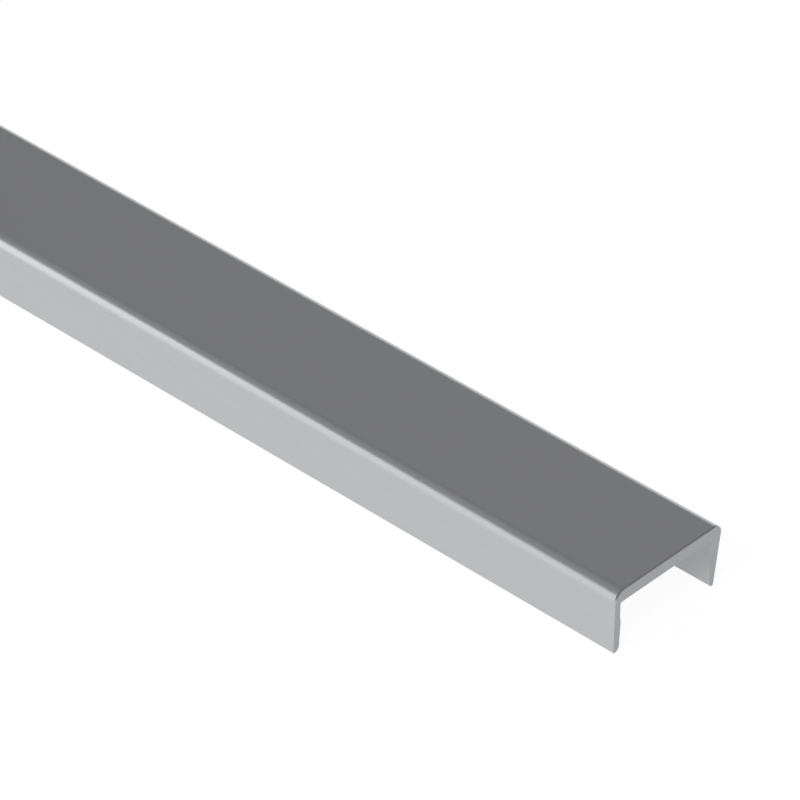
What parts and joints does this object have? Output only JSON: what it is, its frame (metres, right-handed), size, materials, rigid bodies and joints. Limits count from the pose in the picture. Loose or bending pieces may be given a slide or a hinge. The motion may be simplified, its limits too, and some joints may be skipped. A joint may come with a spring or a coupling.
{
  "type": "finger pull profile",
  "caption": "Asymmetric U-shaped aluminium extrusion with rounded outer corners that caps the edge of a board and gives a handleless front something to pull.",
  "frame": {"origin": "middle of the face that the bar rests on, at the tips of its flanges", "axes": "+X along the bar, -Y out of the front flange's outer face, +Z from the flange tips up to the web"},
  "size_m": [1, 0.0214, 0.01],
  "materials": {
    "anodised_aluminium": "satin natural anodised, with fine lengthwise die lines"
  },
  "bodies": {
    "root": {"finger_pull_profile": "anodised_aluminium"}
  },
  "joints": []
}
